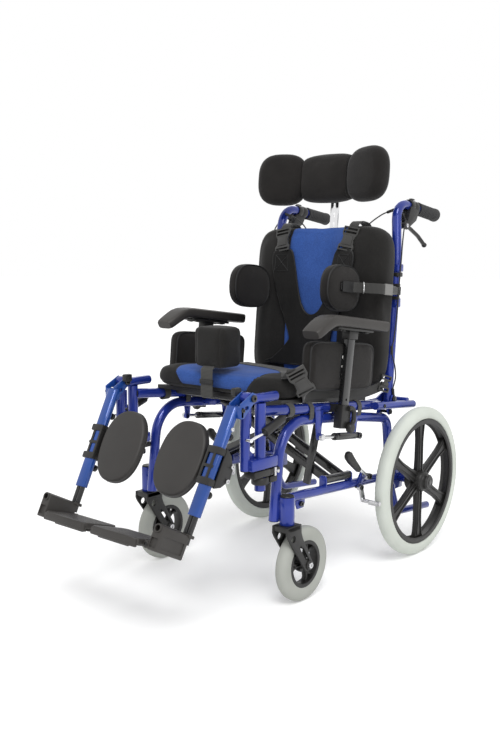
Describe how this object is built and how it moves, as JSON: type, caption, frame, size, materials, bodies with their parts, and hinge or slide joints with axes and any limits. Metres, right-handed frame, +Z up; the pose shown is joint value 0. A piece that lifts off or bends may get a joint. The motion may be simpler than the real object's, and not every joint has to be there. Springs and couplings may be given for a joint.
{
  "type": "tilt in space wheelchair",
  "caption": "Attendant wheelchair with a seat unit that tilts and reclines, swing-away leg rests, chest harness, side supports and a winged headrest.",
  "frame": {"origin": "on the floor, under the middle of the overall box", "axes": "+Z up; the chair faces -Y and rolls along Y; +X is the sitter's left"},
  "size_m": [0.592, 1.1242, 1.0719],
  "materials": {
    "frame_blue": "gloss",
    "leg_blue": "gloss",
    "black_plastic": "satin",
    "grey_plastic": "satin",
    "black_steel": "satin",
    "bright_steel": "satin",
    "rear_tyre_grey": "matte",
    "castor_grey": "matte",
    "black_mesh": "matte",
    "calf_vinyl": "satin",
    "grip_rubber": "matte",
    "webbing": "matte"
  },
  "bodies": {
    "base": {"base_frame_left": "frame_blue", "base_frame_right": "frame_blue", "cross_brace_front": "black_steel", "cross_brace_rear": "black_steel"},
    "seat_unit": {"seat_rail_left": "frame_blue", "seat_rail_right": "frame_blue", "seat_pan": "black_plastic", "seat_cushion": "black_mesh", "pommel": "black_mesh"},
    "backrest": {"cane_left": "frame_blue", "cane_right": "frame_blue", "push_grip_left": "grip_rubber", "push_grip_right": "grip_rubber", "back_board": "black_plastic", "back_cushion": "black_mesh", "chest_harness": "webbing"},
    "headrest": {"headrest_post": "bright_steel", "headrest_centre": "black_mesh"},
    "rear_wheel_left": {"rear_wheel_left": "black_plastic", "rear_tyre_left": "rear_tyre_grey"},
    "castor_fork_left": {"castor_fork_left": "black_plastic"},
    "castor_wheel_left": {"castor_wheel_left": "castor_grey"},
    "brake_lever_left": {"brake_lever_left": "black_plastic"},
    "brake_shoe_left": {"brake_shoe_left": "bright_steel"},
    "tilt_cylinder_left": {"tilt_cylinder_left": "black_steel"},
    "tilt_rod_left": {"tilt_rod_left": "bright_steel"},
    "recline_rod_left": {"recline_rod_left": "bright_steel"},
    "recline_cylinder_left": {"recline_cylinder_left": "black_steel"},
    "brake_handle_left": {"brake_handle_left": "black_plastic"},
    "lateral_pad_left": {"lateral_pad_left": "black_mesh"},
    "headrest_wing_left": {"headrest_wing_left": "black_mesh"},
    "hanger_left": {"hanger_left": "frame_blue"},
    "foot_slide_left": {"foot_slide_left": "black_steel"},
    "footplate_left": {"footplate_left": "grey_plastic"},
    "armrest_left": {"armrest_post_left": "black_steel", "armrest_pad_left": "grey_plastic", "hip_pad_left": "black_mesh"},
    "leg_left": {"leg_tube_left": "leg_blue", "calf_pad_left": "calf_vinyl"},
    "rear_wheel_right": {"rear_wheel_right": "black_plastic", "rear_tyre_right": "rear_tyre_grey"},
    "castor_fork_right": {"castor_fork_right": "black_plastic"},
    "castor_wheel_right": {"castor_wheel_right": "castor_grey"},
    "brake_lever_right": {"brake_lever_right": "black_plastic"},
    "brake_shoe_right": {"brake_shoe_right": "bright_steel"},
    "tilt_cylinder_right": {"tilt_cylinder_right": "black_steel"},
    "tilt_rod_right": {"tilt_rod_right": "bright_steel"},
    "recline_rod_right": {"recline_rod_right": "bright_steel"},
    "recline_cylinder_right": {"recline_cylinder_right": "black_steel"},
    "brake_handle_right": {"brake_handle_right": "black_plastic"},
    "lateral_pad_right": {"lateral_pad_right": "black_mesh"},
    "headrest_wing_right": {"headrest_wing_right": "black_mesh"},
    "hanger_right": {"hanger_right": "frame_blue"},
    "foot_slide_right": {"foot_slide_right": "black_steel"},
    "footplate_right": {"footplate_right": "grey_plastic"},
    "armrest_right": {"armrest_post_right": "black_steel", "armrest_pad_right": "grey_plastic", "hip_pad_right": "black_mesh"},
    "leg_right": {"leg_tube_right": "leg_blue", "calf_pad_right": "calf_vinyl"}
  },
  "joints": [
    {"name": "tilt", "type": "hinge", "parent": "base", "child": "seat_unit", "pos_m": [0, 0.27809, 0.393], "axis": [-1, 0, 0], "range_deg": [0, 25]},
    {"name": "recline", "type": "hinge", "parent": "seat_unit", "child": "backrest", "pos_m": [0, 0.29609, 0.425], "axis": [-1, 0, 0], "range_deg": [0, 60]},
    {"name": "headrest_height", "type": "slide", "parent": "backrest", "child": "headrest", "axis": [0, 0.0792, 0.9969], "range_m": [0, 0.08]},
    {"name": "rear_wheel_roll_left", "type": "hinge", "parent": "base", "child": "rear_wheel_left", "pos_m": [0.26, 0.36209, 0.2], "axis": [1, 0, 0], "continuous": true},
    {"name": "castor_swivel_left", "type": "hinge", "parent": "base", "child": "castor_fork_left", "pos_m": [0.227, -0.16991, 0.216], "axis": [0, 0, 1], "continuous": true},
    {"name": "castor_roll_left", "type": "hinge", "parent": "castor_fork_left", "child": "castor_wheel_left", "pos_m": [0.227, -0.11291, 0.088], "axis": [1, 0, 0], "continuous": true},
    {"name": "parking_lever_left", "type": "hinge", "parent": "base", "child": "brake_lever_left", "pos_m": [0.23, 0.16309, 0.243], "axis": [1, 0, 0], "range_deg": [0, 40]},
    {"name": "parking_shoe_left", "type": "hinge", "parent": "base", "child": "brake_shoe_left", "pos_m": [0.23, 0.14209, 0.216], "axis": [-1, 0, 0], "range_deg": [0, 24]},
    {"name": "tilt_cylinder_pivot_left", "type": "hinge", "parent": "base", "child": "tilt_cylinder_left", "pos_m": [0.226, 0.11309, 0.356], "axis": [-1, 0, 0], "range_deg": [0, 44]},
    {"name": "tilt_rod_slide_left", "type": "slide", "parent": "tilt_cylinder_left", "child": "tilt_rod_left", "axis": [0, -0.9936, 0.1126], "range_m": [0, 0.05]},
    {"name": "recline_rod_pivot_left", "type": "hinge", "parent": "seat_unit", "child": "recline_rod_left", "pos_m": [0.172, 0.35909, 0.414], "axis": [-1, 0, 0], "range_deg": [0, 64]},
    {"name": "recline_cylinder_slide_left", "type": "slide", "parent": "recline_rod_left", "child": "recline_cylinder_left", "axis": [0, 0.1578, -0.9875], "range_m": [0, 0.068]},
    {"name": "armrest_height_left", "type": "slide", "parent": "seat_unit", "child": "armrest_left", "axis": [0, 0.1402, 0.9901], "range_m": [0, 0.05]},
    {"name": "brake_handle_left", "type": "hinge", "parent": "backrest", "child": "brake_handle_left", "pos_m": [0.19025, 0.36809, 0.879], "axis": [1, 0, 0], "range_deg": [0, 18], "stiffness_Nm_per_rad": 1.5, "springref_deg": -8.59},
    {"name": "lateral_swing_left", "type": "hinge", "parent": "backrest", "child": "lateral_pad_left", "pos_m": [0.2215, 0.30075, 0.70839], "axis": [0, 0.0792, 0.9969], "range_deg": [0, 90]},
    {"name": "headrest_wing_left", "type": "hinge", "parent": "headrest", "child": "headrest_wing_left", "pos_m": [0.08, 0.33116, 1.00391], "axis": [0, 0.0792, 0.9969], "range_deg": [0, 18]},
    {"name": "hanger_swing_left", "type": "hinge", "parent": "seat_unit", "child": "hanger_left", "pos_m": [0.205, -0.23991, 0.4], "axis": [0, 0, 1], "range_deg": [0, 90]},
    {"name": "leg_elevate_left", "type": "hinge", "parent": "hanger_left", "child": "leg_left", "pos_m": [0.2, -0.27791, 0.492], "axis": [-1, 0, 0], "range_deg": [0, 60]},
    {"name": "foot_slide_left", "type": "slide", "parent": "leg_left", "child": "foot_slide_left", "axis": [-0.0372, -0.4634, -0.8854], "range_m": [0, 0.06]},
    {"name": "footplate_flip_left", "type": "hinge", "parent": "foot_slide_left", "child": "footplate_left", "pos_m": [0.158, -0.49813, 0.21203], "axis": [0, 0.9553, -0.2955], "range_deg": [0, 80]},
    {"name": "rear_wheel_roll_right", "type": "hinge", "parent": "base", "child": "rear_wheel_right", "pos_m": [-0.26, 0.36209, 0.2], "axis": [1, 0, 0], "continuous": true},
    {"name": "castor_swivel_right", "type": "hinge", "parent": "base", "child": "castor_fork_right", "pos_m": [-0.227, -0.16991, 0.216], "axis": [0, 0, 1], "continuous": true},
    {"name": "castor_roll_right", "type": "hinge", "parent": "castor_fork_right", "child": "castor_wheel_right", "pos_m": [-0.227, -0.11291, 0.088], "axis": [1, 0, 0], "continuous": true},
    {"name": "parking_lever_right", "type": "hinge", "parent": "base", "child": "brake_lever_right", "pos_m": [-0.23, 0.16309, 0.243], "axis": [1, 0, 0], "range_deg": [0, 40]},
    {"name": "parking_shoe_right", "type": "hinge", "parent": "base", "child": "brake_shoe_right", "pos_m": [-0.23, 0.14209, 0.216], "axis": [-1, 0, 0], "range_deg": [0, 24]},
    {"name": "tilt_cylinder_pivot_right", "type": "hinge", "parent": "base", "child": "tilt_cylinder_right", "pos_m": [-0.226, 0.11309, 0.356], "axis": [-1, 0, 0], "range_deg": [0, 44]},
    {"name": "tilt_rod_slide_right", "type": "slide", "parent": "tilt_cylinder_right", "child": "tilt_rod_right", "axis": [0, -0.9936, 0.1126], "range_m": [0, 0.05]},
    {"name": "recline_rod_pivot_right", "type": "hinge", "parent": "seat_unit", "child": "recline_rod_right", "pos_m": [-0.172, 0.35909, 0.414], "axis": [-1, 0, 0], "range_deg": [0, 64]},
    {"name": "recline_cylinder_slide_right", "type": "slide", "parent": "recline_rod_right", "child": "recline_cylinder_right", "axis": [0, 0.1578, -0.9875], "range_m": [0, 0.068]},
    {"name": "armrest_height_right", "type": "slide", "parent": "seat_unit", "child": "armrest_right", "axis": [0, 0.1402, 0.9901], "range_m": [0, 0.05]},
    {"name": "brake_handle_right", "type": "hinge", "parent": "backrest", "child": "brake_handle_right", "pos_m": [-0.19025, 0.36809, 0.879], "axis": [1, 0, 0], "range_deg": [0, 18], "stiffness_Nm_per_rad": 1.5, "springref_deg": -8.59},
    {"name": "lateral_swing_right", "type": "hinge", "parent": "backrest", "child": "lateral_pad_right", "pos_m": [-0.2215, 0.30075, 0.70839], "axis": [0, -0.0792, -0.9969], "range_deg": [0, 90]},
    {"name": "headrest_wing_right", "type": "hinge", "parent": "headrest", "child": "headrest_wing_right", "pos_m": [-0.08, 0.33116, 1.00391], "axis": [0, -0.0792, -0.9969], "range_deg": [0, 18]},
    {"name": "hanger_swing_right", "type": "hinge", "parent": "seat_unit", "child": "hanger_right", "pos_m": [-0.205, -0.23991, 0.4], "axis": [0, 0, -1], "range_deg": [0, 90]},
    {"name": "leg_elevate_right", "type": "hinge", "parent": "hanger_right", "child": "leg_right", "pos_m": [-0.2, -0.27791, 0.492], "axis": [-1, 0, 0], "range_deg": [0, 60]},
    {"name": "foot_slide_right", "type": "slide", "parent": "leg_right", "child": "foot_slide_right", "axis": [0.0372, -0.4634, -0.8854], "range_m": [0, 0.06]},
    {"name": "footplate_flip_right", "type": "hinge", "parent": "foot_slide_right", "child": "footplate_right", "pos_m": [-0.158, -0.49813, 0.21203], "axis": [0, -0.9553, 0.2955], "range_deg": [0, 80]}
  ],
  "couplings": [
    {"joint": "parking_shoe_left", "follows": "parking_lever_left", "ratio": 0.6},
    {"joint": "tilt_cylinder_pivot_left", "follows": "tilt", "ratio": 1.74},
    {"joint": "tilt_rod_slide_left", "follows": "tilt", "m_per_rad": 0.11},
    {"joint": "recline_rod_pivot_left", "follows": "recline", "ratio": 1.05},
    {"joint": "recline_cylinder_slide_left", "follows": "recline", "m_per_rad": 0.06},
    {"joint": "parking_shoe_right", "follows": "parking_lever_right", "ratio": 0.6},
    {"joint": "tilt_cylinder_pivot_right", "follows": "tilt", "ratio": 1.74},
    {"joint": "tilt_rod_slide_right", "follows": "tilt", "m_per_rad": 0.11},
    {"joint": "recline_rod_pivot_right", "follows": "recline", "ratio": 1.05},
    {"joint": "recline_cylinder_slide_right", "follows": "recline", "m_per_rad": 0.06}
  ]
}
